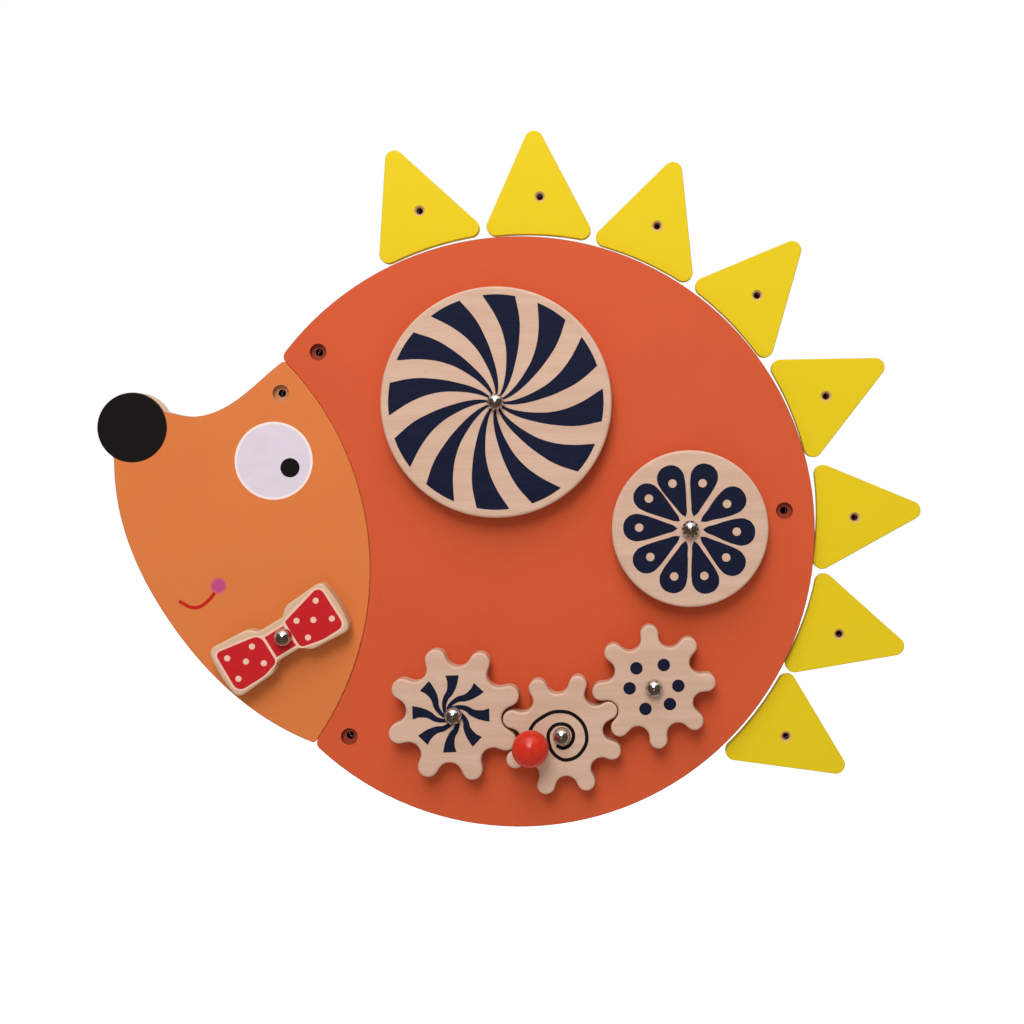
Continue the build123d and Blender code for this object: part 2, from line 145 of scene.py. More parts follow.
@dataclass(frozen=True)
class Surface:
    """The nodes of one material, and the steps in which a finish is laid on it."""

    tree: Tree
    shader: bpy.types.Node
    # Outputs with the point's place, and with its place across the board
    place: Socket
    depth: Socket

    def clouds(self, size: Triple, detail: float = 2.0, place: Socket | None = None) -> Socket:
        """Adds a cloudy pattern, stretched where its sizes differ.

        Args:
            size: Size of the clouds along X, Y and Z, in millimetres.
            detail: How many finer layers they have.
            place: Output with the point's place, if it isn't the surface's own.

        Returns:
            Output with values about one half.
        """
        scale = tuple(1 / (length * MM) for length in size)
        inputs = {"Vector": self.place if place is None else place, "Scale": scale}
        stretched = add_node(self.tree, "ShaderNodeMapping", inputs).outputs["Vector"]
        inputs = {"Vector": stretched, "Scale": 1.0, "Detail": detail, "Roughness": 0.55}
        return add_node(self.tree, "ShaderNodeTexNoise", inputs).outputs["Fac"]

    def from_axis(self, centre: Pair) -> Socket:
        """Measures how far points lie from a line that stands straight out of the wall.

        Args:
            centre: Where the line stands, seen from the front, in millimetres.

        Returns:
            Output with the distance in metres.
        """
        inputs = {0: self.place, 1: (1.0, 0.0, 1.0)}
        flat = add_node(self.tree, "ShaderNodeVectorMath", inputs, operation="MULTIPLY").outputs["Vector"]
        inputs = {0: flat, 1: (centre[0] * MM, 0.0, centre[1] * MM)}
        return add_node(self.tree, "ShaderNodeVectorMath", inputs, operation="DISTANCE").outputs["Value"]

    def off(self, value: Socket, middle: float) -> Socket:
        """Returns the output with how far a value lies to either side of a middle one."""
        inputs = {0: value, 1: middle}
        past = add_node(self.tree, "ShaderNodeMath", inputs, operation="SUBTRACT").outputs["Value"]
        return add_node(self.tree, "ShaderNodeMath", {0: past}, operation="ABSOLUTE").outputs["Value"]

    def laid_over(
        self, below: Colour, above: Colour, pattern: Socket, limits: Pair, shares: Pair = (0.0, 1.0)
    ) -> Socket:
        """Lays one colour over another by a pattern.

        Args:
            below: The lower colour.
            above: The upper colour.
            pattern: Output with the pattern.
            limits: The pattern's values between which the upper colour's share changes.
            shares: That share at these two values.

        Returns:
            Output with the colour.
        """
        inputs = {"Value": pattern, "From Min": limits[0], "From Max": limits[1]}
        inputs |= {"To Min": shares[0], "To Max": shares[1]}
        faded = add_node(self.tree, "ShaderNodeMapRange", inputs, interpolation_type="SMOOTHSTEP")
        lower, upper = [linear(colour) if isinstance(colour, str) else colour for colour in (below, above)]
        inputs = {0: faded.outputs["Result"], 6: lower, 7: upper}
        return add_node(self.tree, "ShaderNodeMix", inputs, data_type="RGBA").outputs[2]

    def cover(
        self, colour: Socket, gloss: Socket, roughness: Pair, relief: Socket, depth: float, levels: dict
    ) -> None:
        """Gives the surface its colour, a patchy gloss and a fine relief.

        Args:
            colour: Output with the colour.
            gloss: Output with the pattern of the gloss.
            roughness: The lowest and the highest roughness.
            relief: Output with the relief's shape.
            depth: The relief's depth in millimetres.
            levels: Constant values of the shader's other inputs.
        """
        self.tree.links.new(colour, self.shader.inputs["Base Color"])
        inputs = {"Value": gloss, "From Min": 0.3, "From Max": 0.7}
        inputs |= {"To Min": roughness[0], "To Max": roughness[1]}
        target = self.shader.inputs["Roughness"]
        add_node(self.tree, "ShaderNodeMapRange", inputs, target, interpolation_type="SMOOTHSTEP")
        inputs = {"Height": relief, "Strength": 1.0, "Distance": depth * MM}
        add_node(self.tree, "ShaderNodeBump", inputs, self.shader.inputs["Normal"])
        for name, level in levels.items():
            self.shader.inputs[name].default_value = level


@dataclass(frozen=True)
class Finish:
    """A named material that is built once."""

    name: str

    def material(self) -> bpy.types.Material:
        """Returns the material and builds it the first time."""
        known = bpy.data.materials.get(self.name)
        if known:
            return known
        material = bpy.data.materials.new(self.name)
        material.use_nodes = True
        tree = material.node_tree
        place = add_node(tree, "ShaderNodeTexCoord").outputs["Object"]
        depth = add_node(tree, "ShaderNodeSeparateXYZ", {"Vector": place}).outputs["Y"]
        self.shade(Surface(tree, tree.nodes["Principled BSDF"], place, depth))
        return material

    def shade(self, surface: Surface) -> None:
        """Fills the material's nodes.

        Args:
            surface: The material's surface.
        """
        raise NotImplementedError


@dataclass(frozen=True)
class Spot:
    """A round patch of another colour on a painted face, sizes in millimetres."""

    centre: Pair
    radius: float
    softness: float
    colour: str


@dataclass(frozen=True)
class Hole:
    """A screw hole, its walls' colour and the reach of the shade painted in its bore, sizes in millimetres.
    """

    centre: Pair
    mouth: float
    bore: float
    lining: str
    fade: float


def screw_mounts(start: str = "") -> list[dict]:
    """Returns the mounts that are screw holes and whose names start in this way."""
    mounts = frame["record"]["mounts"]
    return [mount for mount in mounts if mount["kind"] == "bore" and mount["name"].startswith(start)]


def screw_holes(start: str, mouth: float, lining: str, fade: float = 0.4) -> tuple[Hole, ...]:
    """Finds the screw holes of a board.

    Args:
        start: How their mounts' names start.
        mouth: Radius of the counterbore or countersink.
        lining: Colour of its walls.
        fade: How far past the bore the painted shade reaches.

    Returns:
        The holes.
    """
    return tuple(
        Hole((mount["pos_m"][0] / MM, mount["pos_m"][2] / MM), mouth, mount["dims"]["r_mm"], lining, fade)
        for mount in screw_mounts(start)
    )


@dataclass(frozen=True)
class PaintedPlywood(Finish):
    """Birch plywood, sawn and sanded, its front rolled with matt acrylic paint.

    The front is one even colour with a hardly visible roller stipple. The rounded edge is painted
    darker as painted shade, with a little grime. The sides show bare plies, unless they are painted too,
    and the back is bare.
    """

    paint: str
    # A darker tone, laid at random over the front and fully on the rounded edge as painted shade
    dark_tone_and_edge_shade: str
    front: float = BOARD_FRONT
    painted_sides: bool = False
    seamed: bool = False
    bare: str = "#DAB69A"
    ply_line: str = "#B08A6C"
    back: str = "#E2C6A2"
    # Near black, painted as shade in the bores of the screw holes and just round them
    deep: str = "#4A120A"
    grime: str = "#1E1714"
    spots: tuple[Spot, ...] = ()
    holes: tuple[Hole, ...] = ()
    # Sizes in millimetres: the coat's tone varies over a roller's width, and a light and a dark ply
    # are 2.8 thick. Stipple and fibres are really about 0.5 and 0.2 wide, so they are drawn coarser.
    coat_size: Triple = (60.0, 60.0, 60.0)
    stipple_size: Triple = (1.6, 1.6, 1.6)
    fibre_size: Triple = (14.0, 0.9, 1.2)
    figure_size: Triple = (260.0, 12.0, 17.0)
    wear_size: Triple = (9.0, 9.0, 9.0)
    ply_pair: float = 2.8
    stipple_depth: float = 0.012
    # Where a colour starts and is full, in millimetres: the painted edge shade's and the plies' behind the
    # front, the back's in front of the wall, and the painted edge shade's clearing beside the seam
    edge_from: Pair = (0.02, 0.2)
    plies_from: Pair = (1.0, 1.3)
    back_from: Pair = (0.4, 0.1)
    seam_clear: Pair = (1.0, 2.5)

    def shade(self, surface: Surface) -> None:
        """Paints the front and leaves the back bare.

        Args:
            surface: The material's surface.
        """
        cloud = surface.clouds(self.coat_size, 3.0)
        stipple = surface.clouds(self.stipple_size)
        fibre = surface.clouds(self.fibre_size, 4.0)
        figure = surface.clouds(self.figure_size, 4.0)
        coat = surface.laid_over(self.paint, self.dark_tone_and_edge_shade, cloud, (0.35, 0.65), (0.0, 0.05))
        coat = surface.laid_over(coat, "#FFFFFF", stipple, (0.3, 0.7), (0.0, 0.008))
        for spot in self.spots:
            coat = self.spotted(surface, coat, spot.colour, spot)
        board = self.edge_shaded(surface, coat)
        if not self.painted_sides:
            board = self.bared(surface, board, fibre)
        for hole in self.holes:
            board = self.lined(surface, board, hole)
        rear = surface.laid_over(self.back, self.bare, figure, (0.4, 0.62), (0.0, 0.7))
        rear = surface.laid_over(rear, self.ply_line, fibre, (0.35, 0.7), (0.0, 0.3))
        near_wall = (-self.back_from[0] * MM, -self.back_from[1] * MM)
        board = surface.laid_over(board, rear, surface.depth, near_wall)
        levels = {"IOR": 1.47, "Specular IOR Level": 0.12}
        surface.cover(board, cloud, (0.56, 0.64), stipple, self.stipple_depth, levels)

    def spotted(self, surface: Surface, board: Colour, colour: str, spot: Spot) -> Socket:
        """Returns the output with a colour laid over the board's inside a spot."""
        limits = ((spot.radius - spot.softness) * MM, (spot.radius + spot.softness) * MM)
        return surface.laid_over(board, colour, surface.from_axis(spot.centre), limits, (1.0, 0.0))

    def behind_front(self, depths: Pair) -> Pair:
        """Returns the places across the board of two depths behind its front."""
        return ((depths[0] - self.front) * MM, (depths[1] - self.front) * MM)

    def edge_shaded(self, surface: Surface, coat: Socket) -> Socket:
        """Darkens the rounded edge as painted shade, with a little grime, but not along the seam.

        Args:
            surface: The material's surface.
            coat: Output with the front's colour.

        Returns:
            Output with both colours.
        """
        if self.spots:
            edge_shade = self.spotted(surface, self.dark_tone_and_edge_shade, self.grime, self.spots[0])
        else:
            wear = surface.clouds(self.wear_size)
            edge_shade = surface.laid_over(self.dark_tone_and_edge_shade, self.grime, wear, (0.6, 0.8), (0.0, 0.2))
        # Painted shade on the rounded edge
        edge_shaded = surface.laid_over(coat, edge_shade, surface.depth, self.behind_front(self.edge_from), (0.0, 0.8))
        if not self.seamed:
            return edge_shaded
        near = surface.off(surface.from_axis(JOINT_CENTRE), JOINT_RADIUS * MM)
        limits = (self.seam_clear[0] * MM, self.seam_clear[1] * MM)
        return surface.laid_over(edge_shaded, coat, near, limits, (1.0, 0.0))

    def bared(self, surface: Surface, board: Socket, fibre: Socket) -> Socket:
        """Shows bare plies on the sides.

        Args:
            surface: The material's surface.
            board: Output with the paint's colour.
            fibre: Output with the fibres.

        Returns:
            Output with both colours.
        """
        inputs = {"Vector": surface.place, "Scale": WAVE_TURN / (self.ply_pair * MM)}
        inputs |= {"Distortion": 0.6, "Detail Scale": 40.0}
        bands = add_node(surface.tree, "ShaderNodeTexWave", inputs, wave_type="BANDS", bands_direction="Y")
        plies = surface.laid_over(self.bare, self.ply_line, bands.outputs["Fac"], (0.35, 0.65), (0.0, 0.8))
        plies = surface.laid_over(plies, self.ply_line, fibre, (0.3, 0.7), (0.0, 0.35))
        return surface.laid_over(board, plies, surface.depth, self.behind_front(self.plies_from))

    def lined(self, surface: Surface, board: Socket, hole: Hole) -> Socket:
        """Colours the walls of a screw hole and paints shade into its bore.

        Args:
            surface: The material's surface.
            board: Output with the board's colour.
            hole: The hole.

        Returns:
            Output with both colours.
        """
        away = surface.from_axis(hole.centre)
        start, end = self.edge_from
        mouth = ((hole.mouth + start) * MM, (hole.mouth + end) * MM)
        bore = ((hole.bore + start) * MM, (hole.bore + hole.fade) * MM)
        lined = surface.laid_over(board, hole.lining, away, mouth, (1.0, 0.0))
        # Painted shade in the bore and at its rim
        return surface.laid_over(lined, self.deep, away, bore, (1.0, 0.0))


@dataclass(frozen=True)
class OiledBeech(Finish):
    """Beech board, planed, sanded fine and oiled.

    Even pinkish tan with faint growth bands along the grain and short ray flecks. Its rounded edges
    are a little paler, a painted highlight, and its sides a little darker, where the oil sinks in.
    """

    light: str = "#DCB69F"
    dark: str = "#CDA48B"
    fleck: str = "#B68F77"
    # Paler colour of the rounded edges, a painted highlight
    edge: str = "#E4C3B0"
    side: str = "#BC9278"
    turn: float = 0.0
    # Sizes in millimetres, as on a flat-sawn board, except that fibres are really about 0.2 wide,
    # so they are drawn coarser
    band_size: Triple = (160.0, 9.0, 9.0)
    fibre_size: Triple = (18.0, 0.8, 0.8)
    fleck_size: Triple = (5.0, 0.7, 0.7)
    fibre_depth: float = 0.02
    # How far inside either face the painted edge highlight and the dark side start and end
    edge_highlight: Pair = (1.4, 0.1)
    dark_side: Pair = (3.2, 1.8)

    def shade(self, surface: Surface) -> None:
        """Lays grain bands and flecks along the board.

        Args:
            surface: The material's surface.
        """
        inputs = {"Vector": surface.place, "Rotation": (0.0, math.radians(self.turn), 0.0)}
        turned = add_node(surface.tree, "ShaderNodeMapping", inputs).outputs["Vector"]
        bands = surface.clouds(self.band_size, 3.0, turned)
        fibres = surface.clouds(self.fibre_size, 3.0, turned)
        flecks = surface.clouds(self.fleck_size, 1.0, turned)
        wood = surface.laid_over(self.light, self.dark, bands, (0.35, 0.65), (0.0, 0.55))
        wood = surface.laid_over(wood, self.dark, fibres, (0.35, 0.7), (0.0, 0.3))
        wood = surface.laid_over(wood, self.fleck, flecks, (0.66, 0.76), (0.0, 0.4))
        away = surface.off(surface.depth, -(TURNING_FRONT + TURNING_BACK) / 2 * MM)
        # Painted highlight on the rounded edges
        wood = surface.laid_over(wood, self.edge, away, self.inside_faces(self.edge_highlight), (0.6, 0.0))
        inputs = {0: fibres, 6: linear(self.side), 7: linear(self.dark)}
        sunk = add_node(surface.tree, "ShaderNodeMix", inputs, data_type="RGBA").outputs[2]
        wood = surface.laid_over(wood, sunk, away, self.inside_faces(self.dark_side), (0.8, 0.0))
        levels = {"IOR": 1.5, "Specular IOR Level": 0.3}
        surface.cover(wood, fibres, (0.5, 0.62), fibres, self.fibre_depth, levels)

    def inside_faces(self, depths: Pair) -> Pair:
        """Returns how far from the board's middle two depths below its faces lie."""
        half = (TURNING_FRONT - TURNING_BACK) / 2
        return ((half - depths[0]) * MM, (half - depths[1]) * MM)


@dataclass(frozen=True)
class PrintInk(Finish):
    """Screen-printed ink on wood: matt, even, with the wood's fibres just showing through."""

    colour: str = "#161A30"
    worn: str = "#202642"
    # Sizes in millimetres: fibres are really about 0.2 wide, so they are drawn coarser
    fibre_size: Triple = (16.0, 0.9, 0.9)
    mottle_size: Triple = (7.0, 7.0, 7.0)
    fibre_depth: float = 0.02

    def shade(self, surface: Surface) -> None:
        """Lays the ink with faint fibres and a soft mottle.

        Args:
            surface: The material's surface.
        """
        fibres = surface.clouds(self.fibre_size, 3.0)
        mottle = surface.clouds(self.mottle_size, 3.0)
        ink = surface.laid_over(self.colour, self.worn, fibres, (0.4, 0.75), (0.0, 0.45))
        ink = surface.laid_over(ink, self.worn, mottle, (0.5, 0.75), (0.0, 0.3))
        levels = {"IOR": 1.48, "Specular IOR Level": 0.08}
        surface.cover(ink, mottle, (0.55, 0.66), fibres, self.fibre_depth, levels)


@dataclass(frozen=True)
class BrushedEnamel(Finish):
    """White enamel laid with a brush: a breath of lilac, a soft gloss and a nearly white rim."""

    colour: str = "#E4D6E3"
    worn: str = "#DCCEDA"
    rim: str = "#FFE9E2"
    # Sizes in millimetres: strokes as wide as the brush, and how far inside the eye's outline the
    # rim starts and is full
    stroke_size: Triple = (26.0, 14.0, 14.0)
    stroke_depth: float = 0.03
    rim_from: Pair = (3.0, 1.4)

    def shade(self, surface: Surface) -> None:
        """Lays the lilac white and lets it pale towards the rim.

        Args:
            surface: The material's surface.
        """
        strokes = surface.clouds(self.stroke_size, 3.0)
        middle = (EYE_CENTRE[0] * MM, -BOARD_FRONT * MM, EYE_CENTRE[1] * MM)
        inputs = {0: surface.place, 1: middle}
        away = add_node(surface.tree, "ShaderNodeVectorMath", inputs, operation="DISTANCE").outputs["Value"]
        limits = ((EYE_RADIUS - self.rim_from[0]) * MM, (EYE_RADIUS - self.rim_from[1]) * MM)
        enamel = surface.laid_over(self.colour, self.worn, strokes, (0.35, 0.7), (0.0, 0.6))
        enamel = surface.laid_over(enamel, self.rim, away, limits)
        surface.cover(enamel, strokes, (0.38, 0.5), strokes, self.stroke_depth, {"IOR": 1.5})


@dataclass(frozen=True)
class BallLacquer(Finish):
    """Turned beech ball dipped in gloss lacquer: deep red with a small soft highlight."""

    colour: str = "#D6301A"
    deep: str = "#C42814"
    # Sizes in millimetres: orange peel is really about 2 wide, so it is drawn coarser
    run_size: Triple = (12.0, 12.0, 20.0)
    peel_size: Triple = (5.0, 5.0, 5.0)
    peel_depth: float = 0.004

    def shade(self, surface: Surface) -> None:
        """Lays the lacquer with faint runs and an orange-peel relief.

        Args:
            surface: The material's surface.
        """
        runs = surface.clouds(self.run_size)
        peel = surface.clouds(self.peel_size, 1.0)
        red = surface.laid_over(self.colour, self.deep, runs, (0.35, 0.7), (0.0, 0.6))
        levels = {"IOR": 1.5, "Specular IOR Level": 0.35}
        surface.cover(red, peel, (0.22, 0.32), peel, self.peel_depth, levels)


@dataclass(frozen=True)
class BareSteel(Finish):
    """Steel hardware, polished or zinc plated: bright, with fine wiping scratches."""

    colour: str = "#D6D2CE"
    stain: str = "#AFA9A6"
    roughness: Pair = (0.14, 0.24)
    # Sizes in millimetres: scratches are really about 0.05 wide, so they are drawn coarser
    patch_size: Triple = (5.0, 5.0, 5.0)
    scratch_size: Triple = (9.0, 0.4, 0.4)
    scratch_depth: float = 0.002

    def shade(self, surface: Surface) -> None:
        """Lays the metal with a patchy gloss and scratches.

        Args:
            surface: The material's surface.
        """
        patches = surface.clouds(self.patch_size, 3.0)
        scratches = surface.clouds(self.scratch_size)
        steel = surface.laid_over(self.colour, self.stain, patches, (0.4, 0.7), (0.0, 0.5))
        surface.cover(steel, patches, self.roughness, scratches, self.scratch_depth, {"Metallic": 1.0})


@dataclass(frozen=True)
class TurnedNylon(Finish):
    """Natural nylon ring, parted off on a lathe: milky, with faint turning rings."""

    colour: str = "#E9E6DA"
    shadow: str = "#CFCABB"
    # Sizes in millimetres: turning rings are really about 0.1 apart, so they are drawn coarser
    ring_size: Triple = (4.0, 1.0, 4.0)
    ring_depth: float = 0.01

    def shade(self, surface: Surface) -> None:
        """Lays the milky plastic with its faint rings.

        Args:
            surface: The material's surface.
        """
        rings = surface.clouds(self.ring_size, 3.0)
        milk = surface.laid_over(self.colour, self.shadow, rings, (0.3, 0.7), (0.0, 0.7))
        surface.cover(milk, rings, (0.35, 0.5), rings, self.ring_depth, {"IOR": 1.53})


@dataclass(frozen=True)
class DullStuff(Finish):
    """Brushed wool or uncoated paper of the studio: one even colour without gloss."""

    colour: str = "#6A5A4E"

    def shade(self, surface: Surface) -> None:
        """Sets the colour and takes the gloss away.

        Args:
            surface: The material's surface.
        """
        surface.shader.inputs["Base Color"].default_value = linear(self.colour)
        surface.shader.inputs["Roughness"].default_value = 0.95
        surface.shader.inputs["Specular IOR Level"].default_value = 0.0


@dataclass(frozen=True)
class FloorPaper(Finish):
    """Roll of white studio paper: blank white far from the panel, with the panel's shadow near it."""

    colour: str = "#F4F4F2"
    # Where the glow starts to grow and is full, in metres from the floor's middle, and its strength
    glow_from: Pair = (1.8, 2.7)
    glow: Pair = (0.45, 0.8)

    def shade(self, surface: Surface) -> None:
        """Lets the paper glow for the eye only, more so further away.

        Args:
            surface: The material's surface.
        """
        tree, shader = surface.tree, surface.shader
        shader.inputs["Base Color"].default_value = linear(self.colour)
        shader.inputs["Roughness"].default_value = 0.9
        shader.inputs["Emission Color"].default_value = WHITE
        away = add_node(tree, "ShaderNodeVectorMath", {0: surface.place}, operation="LENGTH").outputs["Value"]
        inputs = {"Value": away, "From Min": self.glow_from[0], "From Max": self.glow_from[1]}
        inputs |= {"To Min": self.glow[0], "To Max": self.glow[1]}
        glow = add_node(tree, "ShaderNodeMapRange", inputs).outputs["Result"]
        inputs = {0: add_node(tree, "ShaderNodeLightPath").outputs["Is Camera Ray"], 1: glow}
        add_node(tree, "ShaderNodeMath", inputs, shader.inputs["Emission Strength"], operation="MULTIPLY")


@dataclass(frozen=True)
class Finishes:
    """The finishes of the whole panel."""

    # The second colour of each board is its darker tone, which is also its painted edge shade
    body: PaintedPlywood = PaintedPlywood(
        "body_acrylic_on_plywood",
        "#D65931",
        "#8E3A20",
        seamed=True,
        # The counterbores are lined in dark red-brown: paint, darkened as painted shade
        holes=screw_holes("body", 8.0, "#A24630"),
    )
    head: PaintedPlywood = PaintedPlywood(
        "head_acrylic_on_plywood",
        "#E07D40",
        "#9A5A32",
        seamed=True,
        # The nose and the cheek
        spots=(Spot((-372.0, 99.8), 33.6, 0.5, "#17120F"), Spot((-289.0, -52.1), 7.2, 2.4, "#C24E80")),
        holes=screw_holes("head", 8.0, "#CC8F66"),
    )
    spike: PaintedPlywood = PaintedPlywood(
        "spike_acrylic_on_plywood",
        "#E9CA14",
        "#D2B828",
        front=SPIKE_FRONT,
        painted_sides=True,
        holes=screw_holes("spike", 5.25, "#D8B070", 1.7),
    )
    beech: OiledBeech = OiledBeech("beech_oiled")
    cross_beech: OiledBeech = OiledBeech(
        "beech_sanded_slanting", "#DDB896", "#D0A884", "#BC936F", "#DDBA9A", "#B8946F", TIE_TILT
    )
    dowel: OiledBeech = OiledBeech("beech_dowel_rod", "#E2BE98", "#C69D78")
    navy: PrintInk = PrintInk("navy_screen_ink")
    black: PrintInk = PrintInk("black_screen_ink", "#161110", "#241D1B")
    red: PrintInk = PrintInk("red_screen_ink", "#C92328", "#B81E22")
    pale: PrintInk = PrintInk("pale_ground_ink", "#F2C6B2", "#E9BAA6")
    smile: PrintInk = PrintInk("smile_brushed_red", "#C8261C", "#B02018")
    eye: BrushedEnamel = BrushedEnamel("eye_brushed_enamel")
    ball: BallLacquer = BallLacquer("ball_gloss_lacquer")
    nut: BareSteel = BareSteel("cap_nut_polished_steel")
    zinc: BareSteel = BareSteel("washer_zinc_plated_steel", "#C9CACB", "#9FA1A4", (0.22, 0.38))
    nylon: TurnedNylon = TurnedNylon("spacer_turned_nylon")


# -------------------- printed shapes


def polar(distance: float, angle: float, centre: Pair = (0.0, 0.0)) -> Pair:
    """Returns the point at a distance and angle, in degrees from the right, about a centre."""
    turn = math.radians(angle)
    return (centre[0] + distance * math.cos(turn), centre[1] + distance * math.sin(turn))


@dataclass(frozen=True)
class Outline:
    """A closed line in millimetres: smooth at its points, except at the sharp ones."""

    points: Sequence[Pair]
    sharp: frozenset[int] = frozenset()

    @staticmethod
    def circle(centre: Pair, radius: float) -> "Outline":
        """Returns a circle."""
        step = 360.0 / CIRCLE_POINTS
        return Outline([polar(radius, step * place, centre) for place in range(CIRCLE_POINTS)])

    @staticmethod
    def rounded(corners: Sequence[Triple], margin: float = 0.0) -> "Outline":
        """Joins round corners by straight sides.

        Args:
            corners: Place and radius of each corner, clockwise.
            margin: How far the line runs outside these corners.

        Returns:
            The line.
        """
        points = []
        for place, (x, y, radius) in enumerate(corners):
            corner = Vector((x, y))
            before = (Vector(corners[place - 1][:2]) - corner).normalized()
            after = (Vector(corners[(place + 1) % len(corners)][:2]) - corner).normalized()
            inward = (before + after).normalized()
            half = before.angle(after) / 2
            side = math.copysign(1.0, before.cross(after))
            middle = corner + inward * radius / math.sin(half)
            for share in CORNER_SHARES:
                turn = Matrix.Rotation(side * share * (math.pi / 2 - half), 2)
                points.append(middle - turn @ inward * (radius + side * margin))
        return Outline(points, frozenset(range(len(points))))


def select_only(*pieces: Piece) -> None:
    """Selects these objects and nothing else.

    Args:
        *pieces: The objects, if any. The first one becomes active.
    """
    bpy.ops.object.select_all(action="DESELECT")
    for piece in reversed(pieces):
        piece.select_set(True)
        bpy.context.view_layer.objects.active = piece


def close_mesh(piece: Piece) -> None:
    """Merges a piece's double points and turns its faces outwards.

    Args:
        piece: The piece.
    """
    select_only(piece)
    bpy.ops.object.mode_set(mode="EDIT")
    bpy.ops.mesh.select_all(action="SELECT")
    bpy.ops.mesh.remove_doubles(threshold=WELD_DISTANCE * MM)
    bpy.ops.mesh.normals_make_consistent(inside=False)
    bpy.ops.object.mode_set(mode="OBJECT")


def new_curve(name: str, dimensions: str) -> Piece:
    """Adds an empty curve object at the origin.

    Args:
        name: Its name.
        dimensions: 2D for a filled area or 3D for a stroke.

    Returns:
        The object.
    """
    select_only()
    bpy.ops.curve.primitive_bezier_circle_add(radius=MM, location=(0.0, 0.0, 0.0))
    line = bpy.context.object
    line.name = name
    line.data.dimensions = dimensions
    line.data.resolution_u = CURVE_STEPS
    line.data.splines.clear()
    return line


def ink_area(name: str, outlines: Iterable[Outline]) -> Piece:
    """Makes a flat printed area about the origin, in the XY plane.

    Args:
        name: The piece's name.
        outlines: Its outer line, and lines inside it that leave holes.

    Returns:
        The closed mesh, a layer of ink thick.
    """
    area = new_curve(name, "2D")
    area.data.fill_mode = "BOTH"
    area.data.extrude = INK_THICKNESS / 2 * MM
    for outline in outlines:
        spline = area.data.splines.new("BEZIER")
        spline.bezier_points.add(len(outline.points) - 1)
        for place, (anchor, (x, y)) in enumerate(zip(spline.bezier_points, outline.points)):
            anchor.co = (x * MM, y * MM, 0.0)
            kind = "VECTOR" if place in outline.sharp else "AUTO"
            anchor.handle_left_type = anchor.handle_right_type = kind
        spline.use_cyclic_u = True
    select_only(area)
    bpy.ops.object.convert(target="MESH")
    close_mesh(area)
    return area


def ink_stroke(name: str, points: Sequence[Pair], widths: Sequence[float]) -> Piece:
    """Makes a drawn line about the origin, in the XY plane.

    Args:
        name: The piece's name.
        points: The points that its middle runs through, in millimetres.
        widths: Its width at each point.

    Returns:
        The closed mesh, a layer of ink thick.
    """
    stroke = new_curve(name, "3D")
    stroke.data.bevel_depth = MM / 2
    stroke.data.bevel_resolution = STROKE_STEPS
    stroke.data.use_fill_caps = True
    spline = stroke.data.splines.new("BEZIER")
    spline.bezier_points.add(len(points) - 1)
    for anchor, (x, y), width in zip(spline.bezier_points, points, widths):
        anchor.co = (x * MM, y * MM, 0.0)
        anchor.handle_left_type = anchor.handle_right_type = "AUTO"
        anchor.radius = width
    select_only(stroke)
    bpy.ops.object.convert(target="MESH")
    stroke.scale = (1.0, 1.0, INK_THICKNESS / max(widths))
    bpy.ops.object.transform_apply(location=False, rotation=False, scale=True)
    close_mesh(stroke)
    return stroke


def joined(pieces: Sequence[Piece]) -> Piece:
    """Joins pieces into the first one.

    Args:
        pieces: The pieces.

    Returns:
        The joined piece.
    """
    select_only(*pieces)
    if len(pieces) > 1:
        bpy.ops.object.join()
    return pieces[0]


def ring_of(first: Piece, count: int) -> Piece:
    """Copies a shape evenly round the origin and joins the copies.

    Args:
        first: The shape, in the XY plane.
        count: How many there are in all.

    Returns:
        The joined piece.
    """
    copies = [first]
    for place in range(1, count):
        select_only(first)
        bpy.ops.object.duplicate(linked=False)
        copy = bpy.context.object
        copy.rotation_euler = (0.0, 0.0, 2 * math.pi * place / count)
        bpy.ops.object.transform_apply(location=False, rotation=True, scale=False)
        copies.append(copy)
    return joined(copies)


def print_on(
    piece: Piece, body: Body, finish: Finish, centre: Pair, height: float, turn: float = 0.0
) -> None:
    """Lays a shape from the XY plane on a front face, dresses it and lets it ride on the body.

    Args:
        piece: The shape.
        body: The body that carries it.
        finish: Its finish.
        centre: Where its origin goes, in millimetres.
        height: How far the face stands in front of the wall.
        turn: How far it is turned, in degrees from the right.
    """
    x, z = centre
    piece.matrix_world = (
        Matrix.Translation((x * MM, -(height + INK_THICKNESS / 2) * MM, z * MM))
        @ Matrix.Rotation(-math.radians(turn), 4, "Y")
        @ Matrix.Rotation(math.pi / 2, 4, "X")
    )
    select_only(piece)
    bpy.ops.object.transform_apply(location=True, rotation=True, scale=True)
    bpy.ops.object.shade_smooth_by_angle(angle=math.radians(SMOOTH_ANGLE))
    piece.data.materials.clear()
    piece.data.materials.append(finish.material())
    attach(piece, body.value)
    log.info("%s rides on %s", piece.name, body.value)


def middle_of(node: str) -> Pair:
    """Returns the middle of a CAD node, seen from the front, in millimetres."""
    low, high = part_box(node)
    return ((low.x + high.x) / 2 / MM, (low.z + high.z) / 2 / MM)


def dress(nodes: Iterable[str], finish: Finish) -> None:
    """Gives CAD nodes a finish.

    Args:
        nodes: Their names.
        finish: The finish.
    """
    for name in nodes:
        for slot in frame["nodes"][name].material_slots:
            slot.material = finish.material()
        log.info("%s is finished in %s", name, finish.name)


# -------------------- sub-assemblies


@dataclass
class Boards:
    """The two painted boards with their dowels, and the eight spikes."""

    finishes: Finishes
    dowels: int = 4
    spikes: int = 8

    def dress(self) -> None:
        """Paints the boards."""
        dress(["body_panel"], self.finishes.body)
        dress(["head_panel"], self.finishes.head)
        dress([f"joint_dowel_{place}" for place in range(1, self.dowels + 1)], self.finishes.dowel)
        dress([f"spike_{place}" for place in range(1, self.spikes + 1)], self.finishes.spike)


